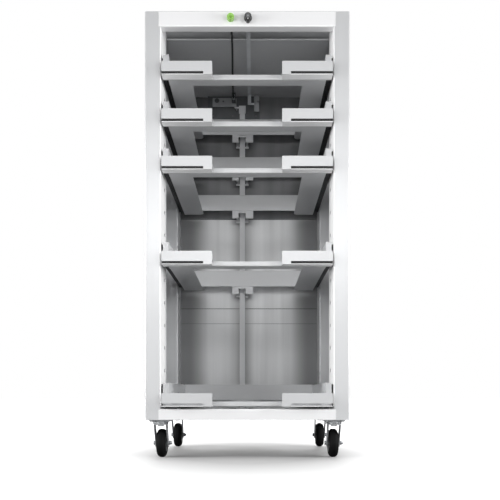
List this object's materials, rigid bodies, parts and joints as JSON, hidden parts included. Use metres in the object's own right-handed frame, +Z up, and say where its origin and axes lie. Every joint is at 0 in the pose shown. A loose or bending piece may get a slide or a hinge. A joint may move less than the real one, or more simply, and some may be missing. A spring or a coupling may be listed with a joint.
{
  "type": "tool case storage cabinet",
  "caption": "Open-fronted sheet-steel cabinet on swivel casters, with pull-out trays for tool cases, a push-button bar lock and a key lock.",
  "frame": {"origin": "centre of the bounding box's base, on the floor between the wheels", "axes": "+Z up, -Y out of the open front, +X to the right seen from the front"},
  "size_m": [0.522, 0.505, 1.1415],
  "materials": {
    "panel_paint": "satin powder coat",
    "frame_paint": "satin powder coat",
    "tray_paint": "satin powder coat",
    "slide_steel": "black phosphated steel",
    "bar_paint": "satin powder coat",
    "mechanism_zinc": "zinc plated",
    "clamp_plastic": "matte",
    "button_green": "semi gloss",
    "cable_sheath": "matte",
    "lock_black": "fine matte",
    "caster_zinc": "bright zinc plated",
    "bolt_zinc": "bright zinc plated",
    "wheel_hub": "moulded grey",
    "tyre_rubber": "black rubber"
  },
  "bodies": {
    "cabinet": {"top_panel": "panel_paint", "floor_panel": "panel_paint", "side_panel_left": "panel_paint", "side_panel_right": "panel_paint", "back_panel_lower": "panel_paint", "back_panel_middle": "panel_paint", "back_panel_upper": "panel_paint", "ceiling_liner": "panel_paint", "front_upright_left": "frame_paint", "front_upright_right": "frame_paint", "rear_upright_left": "frame_paint", "rear_upright_right": "frame_paint", "top_rail": "frame_paint", "bottom_rail": "frame_paint", "slide_outer_members": "slide_steel", "bar_guides": "mechanism_zinc", "release_plate": "mechanism_zinc", "cable_clamp": "clamp_plastic", "button_sleeve": "clamp_plastic", "release_cable": "cable_sheath", "lock_housing": "lock_black", "caster_plates": "caster_zinc", "caster_bolts": "bolt_zinc"},
    "drawer_1": {"tray_1": "tray_paint", "tray_front_1": "tray_paint", "slide_inner_1": "slide_steel"},
    "slide_pair_1": {"slide_middle_1": "slide_steel"},
    "drawer_2": {"tray_2": "tray_paint", "tray_front_2": "tray_paint", "slide_inner_2": "slide_steel"},
    "slide_pair_2": {"slide_middle_2": "slide_steel"},
    "drawer_3": {"tray_3": "tray_paint", "tray_front_3": "tray_paint", "slide_inner_3": "slide_steel"},
    "slide_pair_3": {"slide_middle_3": "slide_steel"},
    "drawer_4": {"tray_4": "tray_paint", "tray_front_4": "tray_paint", "slide_inner_4": "slide_steel"},
    "slide_pair_4": {"slide_middle_4": "slide_steel"},
    "drawer_5": {"tray_5": "tray_paint", "tray_front_5": "tray_paint", "slide_inner_5": "slide_steel"},
    "slide_pair_5": {"slide_middle_5": "slide_steel"},
    "bar": {"lock_bar": "bar_paint"},
    "button": {"release_button": "button_green"},
    "lever": {"release_lever": "mechanism_zinc"},
    "key_lock": {"lock_knob": "lock_black", "lock_rod": "mechanism_zinc"},
    "swivel_front_left": {"caster_fork_front_left": "caster_zinc"},
    "wheel_front_left": {"wheel_hub_front_left": "wheel_hub", "tyre_front_left": "tyre_rubber"},
    "swivel_front_right": {"caster_fork_front_right": "caster_zinc"},
    "wheel_front_right": {"wheel_hub_front_right": "wheel_hub", "tyre_front_right": "tyre_rubber"},
    "swivel_rear_left": {"caster_fork_rear_left": "caster_zinc"},
    "wheel_rear_left": {"wheel_hub_rear_left": "wheel_hub", "tyre_rear_left": "tyre_rubber"},
    "swivel_rear_right": {"caster_fork_rear_right": "caster_zinc"},
    "wheel_rear_right": {"wheel_hub_rear_right": "wheel_hub", "tyre_rear_right": "tyre_rubber"}
  },
  "joints": [
    {"name": "drawer_slide_1", "type": "slide", "parent": "cabinet", "child": "drawer_1", "axis": [0, -1, 0], "range_m": [0, 0.38]},
    {"name": "slide_pair_travel_1", "type": "slide", "parent": "cabinet", "child": "slide_pair_1", "axis": [0, -1, 0], "range_m": [0, 0.19]},
    {"name": "drawer_slide_2", "type": "slide", "parent": "cabinet", "child": "drawer_2", "axis": [0, -1, 0], "range_m": [0, 0.38]},
    {"name": "slide_pair_travel_2", "type": "slide", "parent": "cabinet", "child": "slide_pair_2", "axis": [0, -1, 0], "range_m": [0, 0.19]},
    {"name": "drawer_slide_3", "type": "slide", "parent": "cabinet", "child": "drawer_3", "axis": [0, -1, 0], "range_m": [0, 0.38]},
    {"name": "slide_pair_travel_3", "type": "slide", "parent": "cabinet", "child": "slide_pair_3", "axis": [0, -1, 0], "range_m": [0, 0.19]},
    {"name": "drawer_slide_4", "type": "slide", "parent": "cabinet", "child": "drawer_4", "axis": [0, -1, 0], "range_m": [0, 0.38]},
    {"name": "slide_pair_travel_4", "type": "slide", "parent": "cabinet", "child": "slide_pair_4", "axis": [0, -1, 0], "range_m": [0, 0.19]},
    {"name": "drawer_slide_5", "type": "slide", "parent": "cabinet", "child": "drawer_5", "axis": [0, -1, 0], "range_m": [0, 0.38]},
    {"name": "slide_pair_travel_5", "type": "slide", "parent": "cabinet", "child": "slide_pair_5", "axis": [0, -1, 0], "range_m": [0, 0.19]},
    {"name": "bar_lift", "type": "slide", "parent": "cabinet", "child": "bar", "axis": [0, 0, 1], "range_m": [0, 0.007]},
    {"name": "button_press", "type": "slide", "parent": "cabinet", "child": "button", "axis": [0, 1, 0], "range_m": [0, 0.006]},
    {"name": "lever_turn", "type": "hinge", "parent": "cabinet", "child": "lever", "pos_m": [-0.1027, 0.2265, 1.111], "axis": [0, -1, 0], "range_deg": [0, 6.2]},
    {"name": "key_turn", "type": "hinge", "parent": "cabinet", "child": "key_lock", "pos_m": [0.002, -0.2385, 1.1233], "axis": [0, 1, 0], "range_deg": [0, 90]},
    {"name": "caster_swivel_front_left", "type": "hinge", "parent": "cabinet", "child": "swivel_front_left", "pos_m": [-0.226, -0.1935, 0.082], "axis": [0, 0, 1], "continuous": true},
    {"name": "wheel_spin_front_left", "type": "hinge", "parent": "swivel_front_left", "child": "wheel_front_left", "pos_m": [-0.226, -0.1685, 0.0375], "axis": [1, 0, 0], "continuous": true},
    {"name": "caster_swivel_front_right", "type": "hinge", "parent": "cabinet", "child": "swivel_front_right", "pos_m": [0.226, -0.1935, 0.082], "axis": [0, 0, 1], "continuous": true},
    {"name": "wheel_spin_front_right", "type": "hinge", "parent": "swivel_front_right", "child": "wheel_front_right", "pos_m": [0.226, -0.1685, 0.0375], "axis": [1, 0, 0], "continuous": true},
    {"name": "caster_swivel_rear_left", "type": "hinge", "parent": "cabinet", "child": "swivel_rear_left", "pos_m": [-0.226, 0.1865, 0.082], "axis": [0, 0, 1], "continuous": true},
    {"name": "wheel_spin_rear_left", "type": "hinge", "parent": "swivel_rear_left", "child": "wheel_rear_left", "pos_m": [-0.226, 0.2115, 0.0375], "axis": [1, 0, 0], "continuous": true},
    {"name": "caster_swivel_rear_right", "type": "hinge", "parent": "cabinet", "child": "swivel_rear_right", "pos_m": [0.226, 0.1865, 0.082], "axis": [0, 0, 1], "continuous": true},
    {"name": "wheel_spin_rear_right", "type": "hinge", "parent": "swivel_rear_right", "child": "wheel_rear_right", "pos_m": [0.226, 0.2115, 0.0375], "axis": [1, 0, 0], "continuous": true}
  ],
  "couplings": [
    {"joint": "slide_pair_travel_1", "follows": "drawer_slide_1", "ratio": 0.5},
    {"joint": "slide_pair_travel_2", "follows": "drawer_slide_2", "ratio": 0.5},
    {"joint": "slide_pair_travel_3", "follows": "drawer_slide_3", "ratio": 0.5},
    {"joint": "slide_pair_travel_4", "follows": "drawer_slide_4", "ratio": 0.5},
    {"joint": "slide_pair_travel_5", "follows": "drawer_slide_5", "ratio": 0.5},
    {"joint": "button_press", "follows": "bar_lift", "ratio": 0.857},
    {"joint": "lever_turn", "follows": "bar_lift", "rad_per_m": 15.39}
  ]
}
